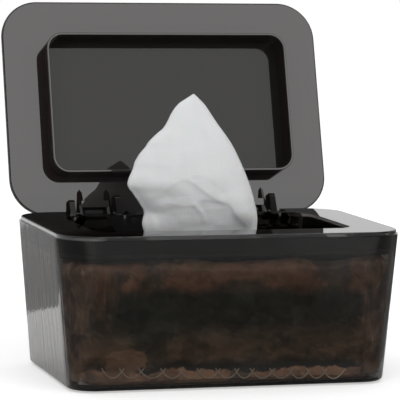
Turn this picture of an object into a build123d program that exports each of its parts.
"""Countertop wipes dispenser: a drafted box, a lift-off cover with a deep well, and a hinged lid.

Millimetres, +Z up. The origin is on the table, at the middle of the base mat's underside.
+X is to the right and the front faces -Y. The lid stands open, leaning back on its stop.
"""
from build123d import *
from math import cos, radians, sin, tan
import os

os.makedirs("parts", exist_ok=True)

# ---------------------------------------------------------------- driving dimensions
box_width = 200.0           # across the rim, left to right
box_depth = 136.0           # across the rim, front to back
rim_z = 85.0                # table to the box's rim
corner_radius = 23.0        # plan radius of the box at its rim
draft = 4.9                 # degrees that every side leans in towards the base
wall = 2.2
base_thickness = 2.2
base_fillet = 2.4           # rounded edge round the underside

mat_inset = 12.0            # anti-slip mat's edge in from the base's outline
mat_corner = 6.0
mat_standoff = 0.8          # table to the underside of the base
mat_seat_depth = 0.6        # how far the mat is let into the base

flange_thickness = 2.4      # the cover's flat top plate
flange_inset = 1.0          # its edge in from the box's rim
flange_edge_radius = 0.7
skirt_depth = 10.7          # cover's skirt, down inside the box
skirt_wall = 1.6
skirt_gap = 0.5             # skirt to box wall

ring_margin_x = 24.0        # lid's edge to its plug ring
ring_margin_y = 23.25
ring_corner = 10.0
ring_wall = 1.5
ring_height = 15.0          # from the lid's inner face
ring_edge_radius = 0.35

well_gap = 0.8              # plug ring to well wall, all round
well_draft = 1.2
well_wall = 1.8
well_floor = 2.0

gasket_height = 1.2         # flat gasket on the well floor, under the plug ring
gasket_width = 3.0
gasket_gap = 0.3            # closed ring to gasket
gasket_side_gap = 0.4       # gasket to the well wall

mouth_length = 64.0         # opening in the soft lip, which the wipe is pulled through
mouth_width = 7.0
lip_width = 4.0             # lip from the mouth to the edge of the slot in the floor
lip_overlap = 2.5           # lip beyond the slot, above and below the floor
lip_thickness = 1.0

seal_height = 2.0           # seal band round the skirt
seal_seat_depth = 0.7       # let into the skirt
seal_proud = 0.2            # stands out of the skirt
seal_rise = 0.9             # above the skirt's lower edge

lid_inset_x = 1.0           # closed lid's edge in from the box's rim
lid_inset_y = 1.75
lid_corner = 22.8
plate_thickness = 1.6       # outer plate
plate_edge_radius = 0.9
frame_thickness = 1.0       # inner frame, bonded to the plate
frame_inset = 1.0
lid_gap = 0.3               # closed lid to the cover's flange
open_angle = 107.3          # degrees from closed to the open stop

hinge_setback = 2.2         # pivot axis behind the lid's rear edge
hinge_drop = 4.2            # pivot axis below the lid's inner face
hinge_centre_x = 48.6       # middle of each hinge from the centre line
knuckle_radius = 3.0
pin_radius = 1.25
pin_inset = 0.4             # pin's end in from the outer rib
pin_chamfer = 0.3
pin_running_gap = 0.05      # radial, pin to lid knuckle
side_gap = 0.3              # ear to rib, along the pin
ear_thickness = 2.0
ear_root = 8.0              # length of an ear's foot on the pocket floor
fin_spread = 8.3            # pointed rib from the hinge's middle
fin_thickness = 3.0
fin_taper = 25.0            # degrees that the rib's sides lean in
fin_reach = 16.0            # up the lid's inner face from its rear edge
lug_thickness = 3.4
lug_height = 5.2            # round-topped rib, out from the lid's face
right_lug_reach = 11.5
left_lug_reach = 9.0
bridge_reach = 4.0          # bar between the two pointed ribs
bridge_breadth = 4.0
bridge_height = 4.6

stop_gap = 0.3              # stop tab to the back of the box, lid open
stop_thickness = 2.2
stop_reach = 6.5            # below the pivot axis

pocket_side_gap = 1.4       # lid ribs to the pocket's sides
pocket_front_gap = 1.0      # tip of the ribs to the pocket's front
pocket_under_gap = 0.9      # knuckle to the pocket's floor
pocket_wall = 1.6
notch_gap = 0.3             # pocket to the notch in the box's rim

pouch_side_gap = 2.4        # pouch to the box's inner wall, all the way up
pouch_headroom = 4.5        # pouch's label to the soft lip above it
pouch_film = 0.6
pouch_corner = 12.0
pouch_edge_radius = 10.0
pouch_foot_radius = 4.0
pouch_mouth_length = 96.0
pouch_mouth_width = 34.0
pouch_gap = 0.3             # pouch to the box's floor
label_margin = 8.0          # peel-back label round the pouch's mouth
label_thickness = 0.4

stack_gap = 1.0             # folded wipes to the film at the sides
stack_headroom = 24.8       # part-used stack to the film above it

mouth_gap = 0.35            # pulled wipe to the lip's mouth
wipe_gap = 0.4              # pulled wipe to the stack below it
wipe_foot_width = 69.0      # wipe where it leaves the well
wipe_foot_bulk = 16.0
wipe_foot_x = -3.5
wipe_wide_rise = 22.0       # widest part, above the cover
wipe_wide_width = 74.0
wipe_wide_bulk = 24.0
wipe_wide_x = -10.3
wipe_shoulder_rise = 42.0
wipe_shoulder_width = 55.0
wipe_shoulder_bulk = 20.0
wipe_shoulder_x = -10.4
wipe_neck_rise = 58.5
wipe_neck_width = 30.0
wipe_neck_bulk = 12.0
wipe_neck_x = -8.0
wipe_tip_rise = 73.7
wipe_tip_width = 5.0
wipe_tip_bulk = 3.0
wipe_tip_x = -7.2

# ---------------------------------------------------------------- places that follow
lean = tan(radians(draft))
base_z = mat_standoff
floor_z = base_z + base_thickness
base_width = box_width - 2 * (rim_z - base_z) * lean
base_depth = box_depth - 2 * (rim_z - base_z) * lean

lid_width = box_width - 2 * lid_inset_x
lid_length = box_depth - 2 * lid_inset_y
ring_length = lid_width - 2 * ring_margin_x
ring_breadth = lid_length - 2 * ring_margin_y

cover_z = rim_z + flange_thickness
skirt_foot_z = rim_z - skirt_depth
seal_z = skirt_foot_z + seal_rise
lid_face_z = cover_z + lid_gap                      # lid's inner face when shut
well_floor_z = lid_face_z - ring_height - gasket_gap - gasket_height
well_depth = cover_z - well_floor_z
well_length = ring_length + 2 * well_gap
well_breadth = ring_breadth + 2 * well_gap
well_corner = ring_corner + well_gap

hinge_y = lid_length / 2 + hinge_setback
hinge_z = lid_face_z - hinge_drop
hinge_xs = (-hinge_centre_x, hinge_centre_x)
ear_spread = fin_spread + fin_thickness / 2 + side_gap + ear_thickness / 2
lug_spread = ear_spread + ear_thickness / 2 + side_gap + lug_thickness / 2
hinge_half = lug_spread + lug_thickness / 2

pocket_floor_z = hinge_z - knuckle_radius - pocket_under_gap
pocket_front_y = lid_length / 2 - fin_reach - pocket_front_gap
pocket_half = hinge_half + pocket_side_gap
notch_z = pocket_floor_z - notch_gap
notch_half = pocket_half + pocket_wall + notch_gap

# The open lid's inner face: local Y runs up the lid, local Z points at the wipe.
turn = radians(open_angle)
lid_edge_y = hinge_y - hinge_setback * cos(turn) + hinge_drop * sin(turn)
lid_edge_z = hinge_z + hinge_setback * sin(turn) + hinge_drop * cos(turn)
lid_up = (0, -cos(turn), sin(turn))
lid_in = (0, -sin(turn), -cos(turn))
lid_plane = Plane(origin=(0, lid_edge_y, lid_edge_z), x_dir=(1, 0, 0), z_dir=lid_in)
lid_normal = Axis(lid_plane.origin, lid_plane.z_dir)
lid_middle = lid_length / 2


def inner_wall(z, inset=0.0):
    """Width, depth and corner radius of the box's inner wall at a height, less an inset."""
    shrink = wall + (rim_z - z) * lean + inset
    return box_width - 2 * shrink, box_depth - 2 * shrink, corner_radius - shrink


def lid_side_plane(x):
    """Plane across the lid at x, with local X up the lid and local Y pointing at the wipe."""
    return Plane(origin=(x, lid_edge_y, lid_edge_z), x_dir=lid_up, z_dir=(1, 0, 0))


# ---------------------------------------------------------------- box
with BuildPart() as box_shell:
    with BuildSketch(Plane.XY.offset(base_z)):
        RectangleRounded(base_width, base_depth, corner_radius - (rim_z - base_z) * lean)
    extrude(amount=rim_z - base_z, taper=-draft)
    fillet(box_shell.edges().group_by(Axis.Z)[0], radius=base_fillet)
    with BuildSketch(Plane.XY.offset(floor_z)):
        RectangleRounded(*inner_wall(floor_z))
    extrude(amount=rim_z - floor_z, taper=-draft, mode=Mode.SUBTRACT)
    # notches in the back of the rim, for the hinges
    for x in hinge_xs:
        with BuildSketch(Plane.XY.offset(notch_z)):
            with Locations((x, box_depth / 2)):
                Rectangle(2 * notch_half, 4 * wall)
        extrude(amount=rim_z - notch_z, mode=Mode.SUBTRACT)
    # seat for the base mat
    with BuildSketch(Plane.XY.offset(base_z)):
        RectangleRounded(base_width - 2 * mat_inset, base_depth - 2 * mat_inset, mat_corner)
    extrude(amount=mat_seat_depth, mode=Mode.SUBTRACT)
box_shell.part.label = "box_shell"
export_step(box_shell.part, "parts/box_shell.step")

# ---------------------------------------------------------------- anti-slip base mat
with BuildPart() as base_mat:
    with BuildSketch(Plane.XY):
        RectangleRounded(base_width - 2 * mat_inset, base_depth - 2 * mat_inset, mat_corner)
    extrude(amount=mat_standoff + mat_seat_depth)
    chamfer(base_mat.edges().group_by(Axis.Z)[0], length=mat_standoff / 2)
base_mat.part.label = "base_mat"
export_step(base_mat.part, "parts/base_mat.step")

# ---------------------------------------------------------------- cover
with BuildPart() as top_cover:
    # flange
    with BuildSketch(Plane.XY.offset(rim_z)):
        RectangleRounded(box_width - 2 * flange_inset, box_depth - 2 * flange_inset,
                         corner_radius - flange_inset)
    extrude(amount=flange_thickness)
    fillet(top_cover.edges().group_by(Axis.Z)[-1], radius=flange_edge_radius)
    # skirt inside the box
    with BuildSketch(Plane.XY.offset(skirt_foot_z)):
        RectangleRounded(*inner_wall(skirt_foot_z, skirt_gap))
    extrude(amount=skirt_depth, taper=-draft)
    with BuildSketch(Plane.XY.offset(skirt_foot_z)):
        RectangleRounded(*inner_wall(skirt_foot_z, skirt_gap + skirt_wall))
    extrude(amount=skirt_depth, taper=-draft, mode=Mode.SUBTRACT)
    # seat for the seal band
    with BuildSketch(Plane.XY.offset(seal_z)):
        RectangleRounded(*inner_wall(seal_z))
        RectangleRounded(*inner_wall(seal_z, skirt_gap + seal_seat_depth), mode=Mode.SUBTRACT)
    extrude(amount=seal_height, mode=Mode.SUBTRACT)
    # well
    with BuildSketch(Plane.XY.offset(rim_z)):
        RectangleRounded(well_length + 2 * well_wall, well_breadth + 2 * well_wall,
                         well_corner + well_wall)
    extrude(amount=-(rim_z - well_floor_z + well_floor), taper=well_draft)
    with BuildSketch(Plane.XY.offset(cover_z)):
        RectangleRounded(well_length, well_breadth, well_corner)
    extrude(amount=-well_depth, taper=well_draft, mode=Mode.SUBTRACT)
    # slot in the well floor for the soft lip
    with BuildSketch(Plane.XY.offset(well_floor_z)):
        SlotOverall(mouth_length + 2 * lip_width, mouth_width + 2 * lip_width)
    extrude(amount=-well_floor, mode=Mode.SUBTRACT)
    # hinge pockets, open at the back
    pocket_foot_z = pocket_floor_z - pocket_wall
    pocket_rear_y = inner_wall(pocket_foot_z, skirt_gap)[1] / 2
    for x in hinge_xs:
        with BuildSketch(Plane.XY.offset(pocket_foot_z)):
            with Locations((x, pocket_front_y - pocket_wall)):
                Rectangle(2 * (pocket_half + pocket_wall), pocket_rear_y - pocket_front_y + pocket_wall,
                          align=(Align.CENTER, Align.MIN))
        extrude(amount=rim_z - pocket_foot_z)
        with BuildSketch(Plane.XY.offset(pocket_floor_z)):
            with Locations((x, pocket_front_y)):
                Rectangle(2 * pocket_half, box_depth / 2 - pocket_front_y,
                          align=(Align.CENTER, Align.MIN))
        extrude(amount=cover_z - pocket_floor_z, mode=Mode.SUBTRACT)
        # a pair of ears, which hold the pin
        for ear_x in (x - ear_spread, x + ear_spread):
            with BuildSketch(Plane.YZ.offset(ear_x - ear_thickness / 2)):
                with Locations((hinge_y, hinge_z)):
                    Circle(knuckle_radius)
                with Locations((pocket_rear_y, pocket_floor_z)):
                    Rectangle(ear_root, pocket_wall, align=(Align.MAX, Align.MIN))
                make_hull()
                with Locations((hinge_y, hinge_z)):
                    Circle(pin_radius, mode=Mode.SUBTRACT)
            extrude(amount=ear_thickness)
top_cover.part.label = "top_cover"
export_step(top_cover.part, "parts/top_cover.step")

# ---------------------------------------------------------------- seal band
with BuildPart() as cover_seal:
    with BuildSketch(Plane.XY.offset(seal_z)):
        RectangleRounded(*inner_wall(seal_z, skirt_gap - seal_proud))
        RectangleRounded(*inner_wall(seal_z, skirt_gap + seal_seat_depth), mode=Mode.SUBTRACT)
    extrude(amount=seal_height)
cover_seal.part.label = "cover_seal"
export_step(cover_seal.part, "parts/cover_seal.step")

# ---------------------------------------------------------------- well gasket
with BuildPart() as well_gasket:
    gasket_inset = well_depth * tan(radians(well_draft)) + gasket_side_gap
    with BuildSketch(Plane.XY.offset(well_floor_z)):
        RectangleRounded(well_length - 2 * gasket_inset, well_breadth - 2 * gasket_inset,
                         well_corner - gasket_inset)
        offset(amount=-gasket_width, mode=Mode.SUBTRACT)
    extrude(amount=gasket_height)
well_gasket.part.label = "well_gasket"
export_step(well_gasket.part, "parts/well_gasket.step")

# ---------------------------------------------------------------- soft lip round the slot
slot_length = mouth_length + 2 * lip_width
slot_width = mouth_width + 2 * lip_width
with BuildPart() as slot_lip:
    with BuildSketch(Plane.XY.offset(well_floor_z - well_floor - lip_thickness)):
        SlotOverall(slot_length + 2 * lip_overlap, slot_width + 2 * lip_overlap)
    extrude(amount=lip_thickness)
    with BuildSketch(Plane.XY.offset(well_floor_z - well_floor)):
        SlotOverall(slot_length, slot_width)
    extrude(amount=well_floor)
    with BuildSketch(Plane.XY.offset(well_floor_z)):
        SlotOverall(slot_length + 2 * lip_overlap, slot_width + 2 * lip_overlap)
    extrude(amount=lip_thickness)
    fillet(slot_lip.edges().group_by(Axis.Z)[-1], radius=lip_thickness / 2)
    with BuildSketch(Plane.XY.offset(well_floor_z + lip_thickness)):
        SlotOverall(mouth_length, mouth_width)
    extrude(amount=-(well_floor + 2 * lip_thickness), mode=Mode.SUBTRACT)
slot_lip.part.label = "slot_lip"
export_step(slot_lip.part, "parts/slot_lip.step")

# ---------------------------------------------------------------- hinge pins
pin_length = 2 * (hinge_half - pin_inset)
for x, name in zip(hinge_xs, ("hinge_pin_left", "hinge_pin_right")):
    with BuildPart() as hinge_pin:
        with BuildSketch(Plane.YZ.offset(x - pin_length / 2)):
            with Locations((hinge_y, hinge_z)):
                Circle(pin_radius)
        extrude(amount=pin_length)
        chamfer(hinge_pin.edges().filter_by(GeomType.CIRCLE), length=pin_chamfer)
    hinge_pin.part.label = name
    export_step(hinge_pin.part, f"parts/{name}.step")

# ---------------------------------------------------------------- lid plate
with BuildPart() as lid_plate:
    with BuildSketch(lid_plane.offset(-frame_thickness - plate_thickness)):
        with Locations((0, lid_middle)):
            RectangleRounded(lid_width, lid_length, lid_corner)
    extrude(amount=plate_thickness)
    outer_face = lid_plate.faces().sort_by(lid_normal)[0]
    fillet(outer_face.edges(), radius=plate_edge_radius)
lid_plate.part.label = "lid_plate"
export_step(lid_plate.part, "parts/lid_plate.step")

# ---------------------------------------------------------------- lid frame, plug ring and hinge ribs
with BuildPart() as lid_frame:
    with BuildSketch(lid_plane.offset(-frame_thickness)):
        with Locations((0, lid_middle)):
            RectangleRounded(lid_width - 2 * frame_inset, lid_length - 2 * frame_inset,
                             lid_corner - frame_inset)
    extrude(amount=frame_thickness)
    with BuildSketch(lid_plane):
        with Locations((0, lid_middle)):
            RectangleRounded(ring_length, ring_breadth, ring_corner)
    extrude(amount=ring_height)
    with BuildSketch(lid_plane.offset(-frame_thickness)):
        with Locations((0, lid_middle)):
            RectangleRounded(ring_length - 2 * ring_wall, ring_breadth - 2 * ring_wall,
                             ring_corner - ring_wall)
    extrude(amount=frame_thickness + ring_height, mode=Mode.SUBTRACT)
    ring_rim = lid_frame.faces().sort_by(lid_normal)[-1]
    fillet(ring_rim.edges(), radius=ring_edge_radius)
    for x in hinge_xs:
        # pointed ribs, either side of the hinge's middle
        for fin_x in (x - fin_spread, x + fin_spread):
            with BuildSketch(lid_side_plane(fin_x)):
                with Locations((-hinge_setback, hinge_drop)):
                    Circle(knuckle_radius)
                Polygon((frame_inset, -frame_thickness), (fin_reach, -frame_thickness), (fin_reach, 0),
                        align=None)
                make_hull()
            extrude(amount=fin_thickness / 2, taper=fin_taper, both=True)
        # round-topped ribs outside them, each with a stop tab behind the box
        for lug_x, lug_reach in ((x - lug_spread, left_lug_reach), (x + lug_spread, right_lug_reach)):
            with BuildSketch(lid_side_plane(lug_x - lug_thickness / 2)):
                with Locations((-hinge_setback, hinge_drop)):
                    Circle(knuckle_radius)
                with Locations((lug_reach - lug_height / 2, lug_height / 2 - frame_thickness / 2)):
                    Circle(lug_height / 2)
                with Locations((frame_inset, -frame_thickness / 2)):
                    Rectangle(frame_thickness / 2, frame_thickness / 2, align=(Align.MIN, Align.MIN))
                make_hull()
            extrude(amount=lug_thickness)
            stop_y = box_depth / 2 - (rim_z - notch_z) * lean + stop_gap
            with BuildSketch(Plane.YZ.offset(lug_x - lug_thickness / 2)):
                with Locations((stop_y, hinge_z)):
                    Rectangle(stop_thickness, stop_reach, align=(Align.MIN, Align.MAX))
            extrude(amount=lug_thickness)
        # bar between the pointed ribs
        with BuildSketch(lid_plane.offset(-frame_thickness / 2)):
            with Locations((x, bridge_reach)):
                Rectangle(2 * fin_spread, bridge_breadth, align=(Align.CENTER, Align.MIN))
        extrude(amount=frame_thickness / 2 + bridge_height)
        # pin hole through all four ribs
        with BuildSketch(Plane.YZ.offset(x - hinge_half)):
            with Locations((hinge_y, hinge_z)):
                Circle(pin_radius + pin_running_gap)
        extrude(amount=2 * hinge_half, mode=Mode.SUBTRACT)
lid_frame.part.label = "lid_frame"
export_step(lid_frame.part, "parts/lid_frame.step")

# ---------------------------------------------------------------- refill: film pouch
pouch_z = floor_z + pouch_gap
pouch_length = inner_wall(floor_z)[0] - 2 * pouch_side_gap
pouch_breadth = inner_wall(floor_z)[1] - 2 * pouch_side_gap
pouch_top_z = well_floor_z - well_floor - lip_thickness - pouch_headroom - label_thickness
with BuildPart() as refill_pouch:
    with BuildSketch(Plane.XY.offset(pouch_z)):
        RectangleRounded(pouch_length, pouch_breadth, pouch_corner)
    extrude(amount=pouch_top_z - pouch_z, taper=-draft)
    fillet(refill_pouch.edges().group_by(Axis.Z)[0], radius=pouch_foot_radius)
    fillet(refill_pouch.edges().group_by(Axis.Z)[-1], radius=pouch_edge_radius)
    offset(amount=-pouch_film, kind=Kind.INTERSECTION, mode=Mode.SUBTRACT)
    with BuildSketch(Plane.XY.offset(pouch_top_z)):
        SlotOverall(pouch_mouth_length, pouch_mouth_width)
    extrude(amount=-2 * pouch_film, mode=Mode.SUBTRACT)
refill_pouch.part.label = "refill_pouch"
export_step(refill_pouch.part, "parts/refill_pouch.step")

# ---------------------------------------------------------------- refill: peel-back label
with BuildPart() as pouch_label:
    with BuildSketch(Plane.XY.offset(pouch_top_z)):
        SlotOverall(pouch_mouth_length + 2 * label_margin, pouch_mouth_width + 2 * label_margin)
        SlotOverall(pouch_mouth_length, pouch_mouth_width, mode=Mode.SUBTRACT)
    extrude(amount=label_thickness)
pouch_label.part.label = "pouch_label"
export_step(pouch_label.part, "parts/pouch_label.step")

# ---------------------------------------------------------------- refill: folded wipes
stack_z = pouch_z + pouch_film
stack_top_z = pouch_top_z - pouch_film - stack_headroom
stack_inset = pouch_film + stack_gap
with BuildPart() as wipes_stack:
    with BuildSketch(Plane.XY.offset(stack_z)):
        RectangleRounded(pouch_length - 2 * stack_inset, pouch_breadth - 2 * stack_inset,
                         pouch_corner - stack_inset)
    extrude(amount=stack_top_z - stack_z)
    fillet(wipes_stack.edges().group_by(Axis.Z)[0], radius=pouch_foot_radius)
wipes_stack.part.label = "wipes_stack"
export_step(wipes_stack.part, "parts/wipes_stack.step")

# ---------------------------------------------------------------- pulled wipe
neck_length = mouth_length - 2 * mouth_gap
neck_width = mouth_width - 2 * mouth_gap
wipe_sections = (
    (stack_top_z + wipe_gap, 0.0, neck_length, neck_width),
    (well_floor_z + lip_thickness, 0.0, neck_length, neck_width),
    (cover_z, wipe_foot_x, wipe_foot_width, wipe_foot_bulk),
    (cover_z + wipe_wide_rise, wipe_wide_x, wipe_wide_width, wipe_wide_bulk),
    (cover_z + wipe_shoulder_rise, wipe_shoulder_x, wipe_shoulder_width, wipe_shoulder_bulk),
    (cover_z + wipe_neck_rise, wipe_neck_x, wipe_neck_width, wipe_neck_bulk),
    (cover_z + wipe_tip_rise, wipe_tip_x, wipe_tip_width, wipe_tip_bulk),
)
with BuildPart() as pulled_wipe:
    for z, x, length, breadth in wipe_sections:
        with BuildSketch(Plane.XY.offset(z)):
            with Locations((x, 0)):
                SlotOverall(length, breadth)
    loft(ruled=True)
pulled_wipe.part.label = "pulled_wipe"
export_step(pulled_wipe.part, "parts/pulled_wipe.step")

print(f"pivot axis y {hinge_y:.2f} z {hinge_z:.2f}, lid edge y {lid_edge_y:.2f} z {lid_edge_z:.2f}")
print(f"well floor z {well_floor_z:.2f}, pouch {pouch_length:.2f} x {pouch_breadth:.2f}, top z {pouch_top_z:.2f}")
